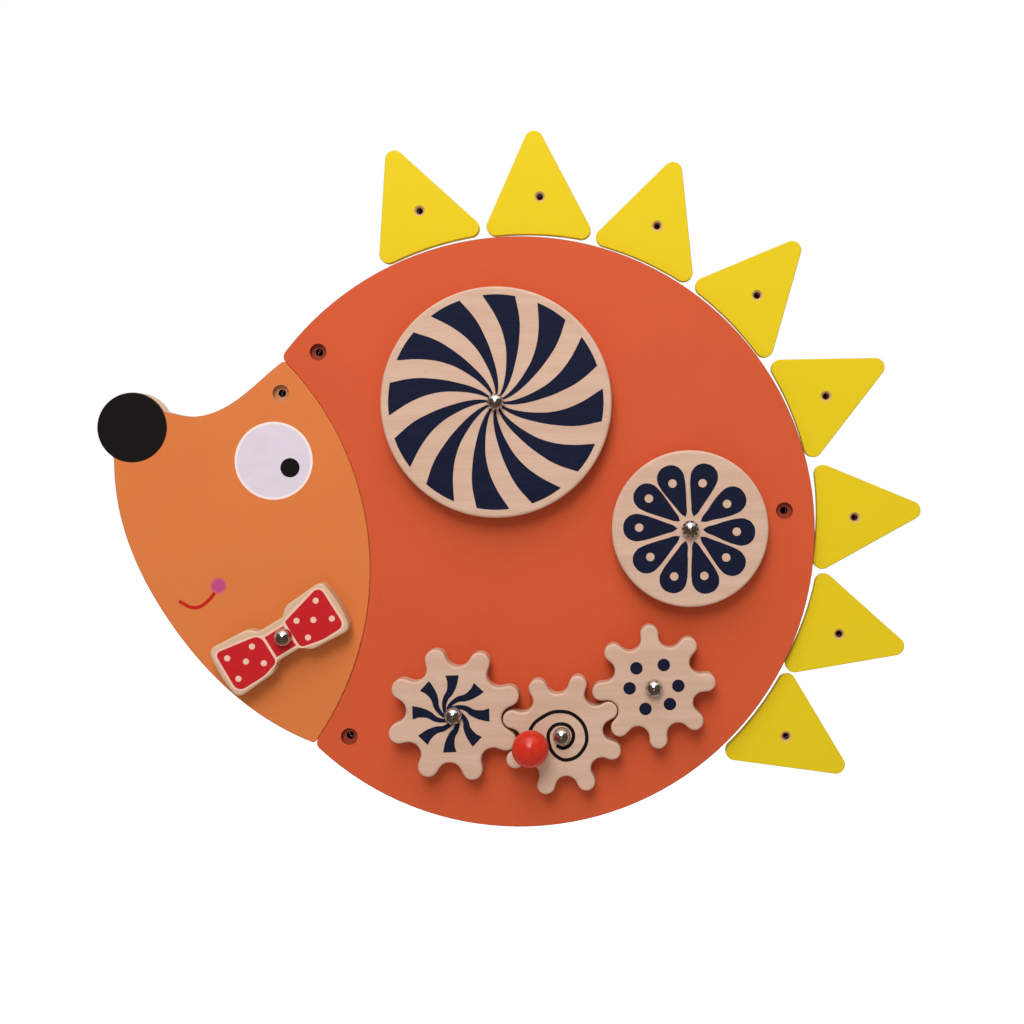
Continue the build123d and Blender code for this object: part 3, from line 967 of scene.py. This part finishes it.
@dataclass
class Face:
    """Painted eye and smile on the head, sizes in millimetres."""

    finishes: Finishes
    pupil_centre: Pair = (-220.3, 61.2)
    pupil_radius: float = 9.2
    smile: tuple[Pair, ...] = ((-327.0, -66.9), (-311.5, -73.2), (-299.4, -67.0), (-292.6, -58.9))
    smile_width: float = 3.4

    def build(self) -> None:
        """Paints the eye, the pupil and the smile."""
        eye = ink_area("eye_white", [Outline.circle((0.0, 0.0), EYE_RADIUS)])
        print_on(eye, Body.WALL, self.finishes.eye, EYE_CENTRE, BOARD_FRONT)
        pupil = ink_area("eye_pupil", [Outline.circle((0.0, 0.0), self.pupil_radius)])
        print_on(pupil, Body.WALL, self.finishes.black, self.pupil_centre, BOARD_FRONT + INK_THICKNESS)
        smile = ink_stroke("smile_line", self.smile, [self.smile_width] * len(self.smile))
        print_on(smile, Body.WALL, self.finishes.smile, (0.0, 0.0), BOARD_FRONT)


@dataclass
class BigWheel:
    """Wheel with a swirl of curved blades, sizes in millimetres and degrees."""

    finishes: Finishes
    blades: int = 12
    outer_radius: float = 101.6
    start_angle: float = 97.2
    blade_width: float = 17.5
    rim_shares: tuple[float, ...] = (1.0, 0.67, 0.33, 0.0)
    # Radius and angle of points along a blade, inwards on its left and outwards on its right
    left_edge: tuple[Pair, ...] = ((78.2, 8.1), (58.4, 15.4), (40.5, 21.3), (17.3, 31.0), (6.8, 37.0))
    right_edge: tuple[Pair, ...] = ((6.8, 52.5), (18.8, 44.0), (43.4, 33.0), (66.0, 26.9), (81.1, 23.2))

    def dress(self) -> None:
        """Finishes the wheel."""
        dress(["big_wheel"], self.finishes.beech)

    def build(self) -> None:
        """Prints the swirl."""
        rim = [(self.outer_radius, share * self.blade_width) for share in self.rim_shares]
        line = [*rim, *self.left_edge, *self.right_edge]
        points = [polar(radius, self.start_angle - angle) for radius, angle in line]
        inner = len(rim) + len(self.left_edge)
        blade = ink_area("big_wheel_swirl", [Outline(points, frozenset({0, len(rim) - 1, inner - 1, inner}))])
        swirl = ring_of(blade, self.blades)
        print_on(swirl, Body.BIG_WHEEL, self.finishes.navy, middle_of("big_wheel_bolt"), TURNING_FRONT)


@dataclass
class SmallWheel:
    """Wheel with ten drop-shaped petals, each with an unprinted dot, sizes in millimetres and degrees."""

    finishes: Finishes
    directions: tuple[float, ...] = (111.4, 74.8, 34.1, -3.5, -38.6, -73.3, -108.6, -144.8, -181.3, -216.2)
    reaches: tuple[float, ...] = (63.2, 63.2, 61.0, 61.3, 63.2, 63.2, 63.2, 63.2, 63.2, 63.2)
    dots: tuple[float, ...] = (45.9, 44.5, 41.9, 43.9, 43.4, 46.3, 47.4, 46.1, 48.2, 48.3)
    dot_radius: float = 4.0
    tip: float = 12.0
    belly: float = 11.0
    # Half of a petal's outline: how far beyond its tip, belly and end points lie, and how far aside
    past_tip: tuple[Pair, ...] = ((0.0, 0.0), (4.0, 2.9), (10.0, 4.9))
    past_belly: tuple[Pair, ...] = ((-17.0, 9.4), (-6.0, 12.4), (0.5, 12.7))
    past_end: tuple[Pair, ...] = ((-3.0, 8.6),)

    def dress(self) -> None:
        """Finishes the wheel."""
        dress(["small_wheel"], self.finishes.beech)

    def petal(self, direction: float, reach: float, dot: float) -> Piece:
        """Makes one petal.

        Args:
            direction: Where it points.
            reach: How far out it reaches.
            dot: How far out its dot lies.

        Returns:
            The petal.
        """
        starts = ((self.tip, self.past_tip), (reach - self.belly, self.past_belly), (reach, self.past_end))
        half = [(start + x, y) for start, points in starts for x, y in points]
        line = [*half, (reach, 0.0), *[(x, -y) for x, y in reversed(half[1:])]]
        drop = ink_area("petal", [Outline(line, frozenset({0})), Outline.circle((dot, 0.0), self.dot_radius)])
        drop.rotation_euler = (0.0, 0.0, math.radians(direction))
        select_only(drop)
        bpy.ops.object.transform_apply(location=False, rotation=True, scale=False)
        return drop

    def build(self) -> None:
        """Prints the petals."""
        flower = joined([self.petal(*sizes) for sizes in zip(self.directions, self.reaches, self.dots)])
        flower.name = "small_wheel_petals"
        print_on(flower, Body.SMALL_WHEEL, self.finishes.navy, middle_of("small_wheel_bolt"), TURNING_FRONT)


@dataclass
class LeftGear:
    """Gear with eight bent blades, sizes in millimetres."""

    finishes: Finishes
    blades: int = 8
    middle: tuple[Pair, ...] = (
        (1.1, 36.3), (1.3, 30.2), (-0.9, 20.8), (-4.9, 14.5), (-6.4, 6.6), (-5.6, 0.6),
    )
    widths: tuple[float, ...] = (12.6, 9.8, 6.8, 5.2, 3.8, 2.8)
    print_shift: Pair = (-2.4, 1.2)

    def dress(self) -> None:
        """Finishes the gear."""
        dress(["left_gear"], self.finishes.beech)

    def build(self) -> None:
        """Prints the blades, a little off the gear's middle."""
        blade = ink_stroke("left_gear_blades", self.middle, self.widths)
        x, z = middle_of("left_gear_bolt")
        place = (x + self.print_shift[0], z + self.print_shift[1])
        print_on(ring_of(blade, self.blades), Body.LEFT_GEAR, self.finishes.navy, place, TURNING_FRONT)


@dataclass
class CrankGear:
    """Gear with a spiral line that ends under its ball, sizes in millimetres."""

    finishes: Finishes
    spiral: tuple[Pair, ...] = (
        (-5.0, -9.5), (1.5, -12.0), (10.0, -5.0), (9.0, 6.0), (0.0, 10.8), (-10.5, 6.0), (-12.4, -6.0),
        (-4.5, -20.0), (7.0, -22.8), (20.0, -13.5), (23.3, 1.0), (14.5, 17.0), (-2.0, 22.6), (-18.0, 17.4),
        (-29.3, 6.0), (-30.0, -7.0),
    )
    width: float = 3.4

    def dress(self) -> None:
        """Finishes the gear, the peg and the ball."""
        dress(["crank_gear"], self.finishes.beech)
        dress(["knob_peg"], self.finishes.dowel)
        dress(["knob_ball"], self.finishes.ball)

    def build(self) -> None:
        """Prints the spiral."""
        line = ink_stroke("crank_gear_spiral", self.spiral, [self.width] * len(self.spiral))
        print_on(line, Body.CRANK_GEAR, self.finishes.black, middle_of("crank_gear_bolt"), TURNING_FRONT)


@dataclass
class RightGear:
    """Gear with six round dots, sizes in millimetres and degrees."""

    finishes: Finishes
    dot_radius: float = 5.9
    lift: float = 0.6
    dots: tuple[Pair, ...] = (
        (22.5, 65.7), (24.0, 133.7), (23.0, 183.8), (22.4, 249.1), (22.2, 312.7), (23.0, 2.1),
    )

    def dress(self) -> None:
        """Finishes the gear."""
        dress(["right_gear"], self.finishes.beech)

    def build(self) -> None:
        """Prints the dots."""
        places = [polar(*place, (0.0, self.lift)) for place in self.dots]
        ring = joined([ink_area("dot", [Outline.circle(place, self.dot_radius)]) for place in places])
        ring.name = "right_gear_dots"
        print_on(ring, Body.RIGHT_GEAR, self.finishes.navy, middle_of("right_gear_bolt"), TURNING_FRONT)


@dataclass
class BowTie:
    """Bow tie with two dotted fields and a knot, sizes in millimetres along and across the tie."""

    finishes: Finishes
    centre: Pair = (-224.8, -100.7)
    # Place and radius of each corner of the fields and of the ground above and below the knot
    left_field: tuple[Triple, ...] = (
        (-58.3, 20.6, 4.5), (-12.9, 13.4, 9.0), (-12.9, -16.8, 5.0), (-29.0, -21.8, 30.0),
        (-58.9, -22.2, 8.0),
    )
    right_field: tuple[Triple, ...] = (
        (13.4, 11.6, 2.5), (58.8, 24.0, 6.0), (59.6, -21.0, 7.0), (36.0, -21.4, 40.0), (13.6, -16.6, 5.0),
    )
    waist_above: tuple[Triple, ...] = (
        (-20.5, 14.2, 6.0), (-11.0, 9.2, 3.0), (10.5, 9.0, 3.0), (15.0, 12.0, 3.0),
    )
    lower_edge: tuple[Triple, ...] = (
        (36.0, -21.0, 40.0), (17.0, -16.8, 3.0), (11.0, -12.4, 3.0), (-11.0, -12.4, 3.0), (-16.0, -16.8, 4.0),
        (-29.0, -21.1, 30.0), (-58.9, -21.6, 8.0),
    )
    ground_margin: float = 2.3
    knot: tuple[Pair, ...] = ((-10.4, 9.1), (10.4, 8.9), (11.1, -12.9), (-10.2, -12.9))
    left_dots: tuple[Pair, ...] = (
        (-25.0, 7.9), (-50.7, 10.6), (-37.2, -1.2), (-23.6, -11.3), (-51.7, -11.4),
    )
    right_dots: tuple[Pair, ...] = (
        (48.8, 13.5), (23.5, 6.8), (37.5, -0.8), (53.0, -8.8), (24.5, -12.4),
    )
    dot_radius: float = 2.9

    def dress(self) -> None:
        """Finishes the tie."""
        dress(["bow_tie"], self.finishes.cross_beech)

    def build(self) -> None:
        """Prints the pale ground and on it the fields and the knot."""
        around = [self.left_field[0], *self.waist_above, *self.right_field[1:3], *self.lower_edge]
        ground = ink_area("bow_tie_pale_ground", [Outline.rounded(around, self.ground_margin)])
        print_on(ground, Body.BOW_TIE, self.finishes.pale, self.centre, TURNING_FRONT, TIE_TILT)
        prints = (
            ("bow_tie_left_field", Outline.rounded(self.left_field), self.left_dots),
            ("bow_tie_right_field", Outline.rounded(self.right_field), self.right_dots),
            ("bow_tie_knot_field", Outline(self.knot, frozenset(range(len(self.knot)))), ()),
        )
        height = TURNING_FRONT + INK_THICKNESS
        for name, line, dots in prints:
            piece = ink_area(name, [line, *[Outline.circle(dot, self.dot_radius) for dot in dots]])
            print_on(piece, Body.BOW_TIE, self.finishes.red, self.centre, height, TIE_TILT)


@dataclass
class Axles:
    """The bolts, spacers, sleeves, washers and cap nuts of the six turning pieces."""

    finishes: Finishes
    names: tuple[str, ...] = ("big_wheel", "small_wheel", "left_gear", "crank_gear", "right_gear", "bow_tie")

    def dress(self) -> None:
        """Finishes the hardware."""
        for name in self.names:
            dress([f"{name}_cap_nut"], self.finishes.nut)
            dress([f"{name}_bolt", f"{name}_washer", f"{name}_sleeve"], self.finishes.zinc)
            dress([f"{name}_spacer"], self.finishes.nylon)


# -------------------- studio


@dataclass(frozen=True)
class Lamp:
    """A soft square lamp: its place and size in metres and its power in watts."""

    place: Triple
    size: float
    power: float


@dataclass
class Studio:
    """White surroundings, lamps and camera, sizes in metres."""

    floor_height: float = -1.6
    floor_size: float = 30.0
    sky: float = 0.3
    lamps: tuple[Lamp, ...] = (
        Lamp((-0.25, -3.0, 1.9), 1.3, 56.0),
        Lamp((-0.1, -1.0, 1.7), 1.2, 17.5),
        Lamp((0.6, 2.8, 1.6), 2.0, 55.0),
    )
    curtain_radius: float = 3.8
    curtain_top: float = 3.2
    curtain_end: float = 0.35
    curtain_lift: float = 0.01
    curtain_sides: int = 48
    # How far behind the holes the discs of painted shade lie, and how many sides they have
    shade_disc_offset: float = 0.0002
    hole_sides: int = 32
    camera_place: Triple = (0.108, -1.3, 0.08016)
    lens: float = 46.95
    sensor_width: float = 36.0
    shift: Pair = (-0.1172, -0.0625)

    def white_world(self) -> None:
        """Surrounds the panel with an even light that is white to the eye and in reflections."""
        world = bpy.data.worlds.new("white_surroundings")
        bpy.context.scene.world = world
        world.use_nodes = True
        tree = world.node_tree
        background = tree.nodes["Background"]
        background.inputs["Color"].default_value = WHITE
        rays = add_node(tree, "ShaderNodeLightPath").outputs
        seen = rays["Is Camera Ray"]
        for kind in ("Is Transmission Ray", "Is Glossy Ray"):
            seen = add_node(tree, "ShaderNodeMath", {0: seen, 1: rays[kind]}, operation="MAXIMUM").outputs[0]
        inputs = {"Value": seen, "To Min": self.sky, "To Max": 1.0}
        add_node(tree, "ShaderNodeMapRange", inputs, background.inputs["Strength"])

    def white_floor(self) -> None:
        """Lays a white floor that keeps the panel's shadow."""
        select_only()
        bpy.ops.mesh.primitive_plane_add(size=self.floor_size, location=(0.0, 0.0, self.floor_height))
        floor = bpy.context.object
        floor.name = "studio_floor"
        floor.data.materials.append(FloorPaper("floor_white_paper").material())

    def curtain(self) -> None:
        """Hangs a brown curtain round the front, on a brown ground, which only reflections show."""
        height = self.curtain_top - self.floor_height
        select_only()
        bpy.ops.mesh.primitive_cylinder_add(
            vertices=self.curtain_sides,
            radius=self.curtain_radius,
            depth=height,
            end_fill_type="NGON",
            location=(0.0, 0.0, self.floor_height + height / 2 + self.curtain_lift),
        )
        curtain = bpy.context.object
        curtain.name = "studio_brown_curtain"
        bpy.ops.object.transform_apply(location=True, rotation=False, scale=False)
        bpy.ops.object.mode_set(mode="EDIT")
        # Cuts away what stands behind the panel, and the lid
        behind = ((0.0, self.curtain_end, 0.0), (0.0, 1.0, 0.0))
        above = ((0.0, 0.0, self.curtain_top - self.curtain_lift), (0.0, 0.0, 1.0))
        for place, outwards in (behind, above):
            bpy.ops.mesh.select_all(action="SELECT")
            bpy.ops.mesh.bisect(plane_co=place, plane_no=outwards, use_fill=False, clear_outer=True)
        bpy.ops.object.mode_set(mode="OBJECT")
        curtain.visible_camera = curtain.visible_diffuse = curtain.visible_shadow = False
        curtain.data.materials.append(DullStuff("brown_wool").material())

    def shade_discs_behind_holes(self) -> None:
        """Puts a disc of dark paper behind each screw hole, as painted shade seen through the hole."""
        paper = DullStuff("hole_shade_paper", "#3A120C")
        for mount in screw_mounts():
            x, _, z = mount["pos_m"]
            select_only()
            bpy.ops.mesh.primitive_circle_add(
                vertices=self.hole_sides,
                radius=mount["dims"]["r_mm"] * MM,
                fill_type="NGON",
                location=(x, self.shade_disc_offset, z),
                rotation=(math.pi / 2, 0.0, 0.0),
            )
            disc = bpy.context.object
            disc.name = f"studio_{mount['name']}_back"
            disc.data.materials.append(paper.material())

    def hang(self, lamp: Lamp) -> None:
        """Hangs a lamp that looks at the panel.

        Args:
            lamp: The lamp.
        """
        select_only()
        start = Vector(lamp.place)
        aim = (Vector((0.0, 0.0, 0.0)) - start).to_track_quat("-Z", "Y").to_euler()
        bpy.ops.object.light_add(type="AREA", location=start, rotation=aim)
        light = bpy.context.object.data
        light.shape = "SQUARE"
        light.size = lamp.size
        light.energy = lamp.power

    def camera(self) -> None:
        """Sets the camera straight in front of the panel."""
        bpy.ops.object.camera_add(location=self.camera_place, rotation=(math.pi / 2, 0.0, 0.0))
        camera = bpy.context.object
        camera.data.lens = self.lens
        camera.data.sensor_width = self.sensor_width
        camera.data.shift_x, camera.data.shift_y = self.shift
        bpy.context.scene.camera = camera

    def build(self) -> None:
        """Sets up the surroundings, the lamps and the camera."""
        self.white_world()
        self.white_floor()
        self.curtain()
        self.shade_discs_behind_holes()
        for lamp in self.lamps:
            self.hang(lamp)
        self.camera()
        bpy.context.scene.view_settings.view_transform = "Standard"


def main() -> None:
    """Builds and dresses the panel, part by part."""
    logging.basicConfig(level=logging.INFO, format="%(name)s: %(message)s")
    finishes = Finishes()
    Boards(finishes).dress()
    Face(finishes).build()
    for assembly in (BigWheel, SmallWheel, LeftGear, CrankGear, RightGear, BowTie):
        part = assembly(finishes)
        part.dress()
        part.build()
    Axles(finishes).dress()
    Studio().build()


if __name__ == "__main__":
    main()
